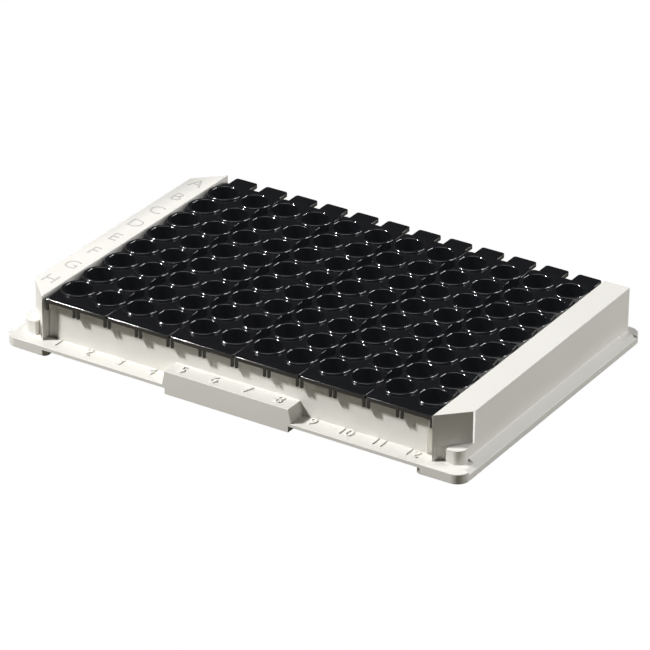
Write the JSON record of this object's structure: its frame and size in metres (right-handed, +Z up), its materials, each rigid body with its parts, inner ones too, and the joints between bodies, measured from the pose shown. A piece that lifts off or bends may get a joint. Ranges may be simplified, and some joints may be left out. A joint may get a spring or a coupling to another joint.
{
  "type": "strip-well assay plate",
  "caption": "White rectangular assay plate frame with chamfered end rails, holding side-by-side black strip modules of round open wells.",
  "frame": {"origin": "centre of the footprint, on the surface that the plate stands on", "axes": "+X along columns 1 to 12, +Y from row H to row A, +Z up out of the wells"},
  "size_m": [0.1278, 0.0854, 0.0143],
  "materials": {
    "frame": "satin moulded white",
    "wells": "glossy moulded black"
  },
  "bodies": {
    "root": {"strip_frame": "frame", "well_module_1": "wells", "well_module_2": "wells", "well_module_3": "wells", "well_module_4": "wells", "well_module_5": "wells", "well_module_6": "wells"}
  },
  "joints": []
}
